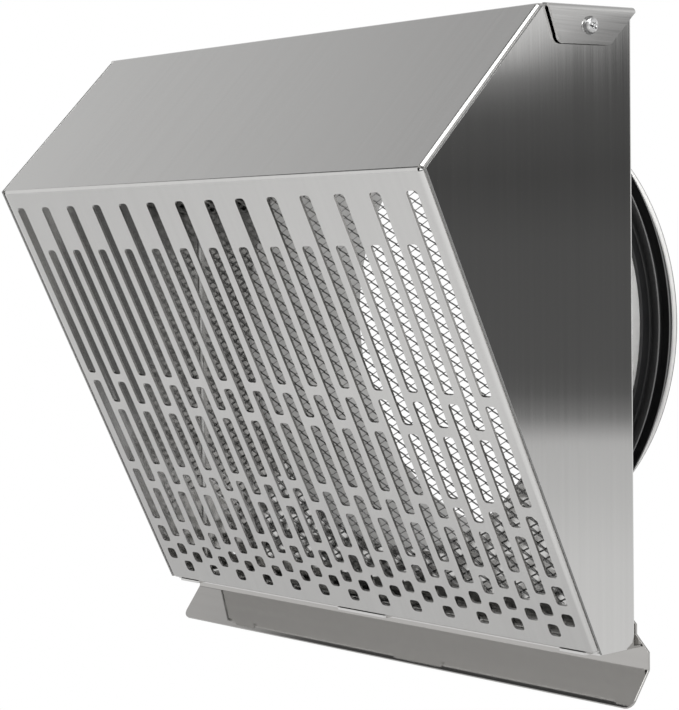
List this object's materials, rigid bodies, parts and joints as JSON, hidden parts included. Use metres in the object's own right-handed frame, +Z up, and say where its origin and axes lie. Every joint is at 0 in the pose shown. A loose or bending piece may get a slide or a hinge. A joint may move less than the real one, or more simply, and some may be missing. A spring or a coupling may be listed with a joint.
{
  "type": "exhaust vent cover",
  "caption": "Wall-mounted exhaust vent cover: folded stainless hood with a slotted front, bird mesh, drip edge and a lip-sealed round duct spigot.",
  "frame": {"origin": "centre of the duct opening, on the rear face of the wall plate", "axes": "+X along the hood's width, +Y into the wall along the duct, +Z up"},
  "size_m": [0.2786, 0.1811, 0.2662],
  "materials": {
    "stainless_body": "brushed along its length, satin",
    "stainless_cover": "brushed along the width, satin",
    "mesh": "expanded metal, bright",
    "spigot": "smooth mill finish",
    "seal": "black moulded rubber",
    "hardware": "bright stainless"
  },
  "bodies": {
    "root": {"body": "stainless_body", "front_cover": "stainless_cover", "mesh_panel": "mesh", "duct_spigot": "spigot", "lip_seal": "seal", "drip_edge": "stainless_body", "cover_screws": "hardware", "cover_washers": "hardware", "clinch_nuts": "hardware"}
  },
  "joints": []
}
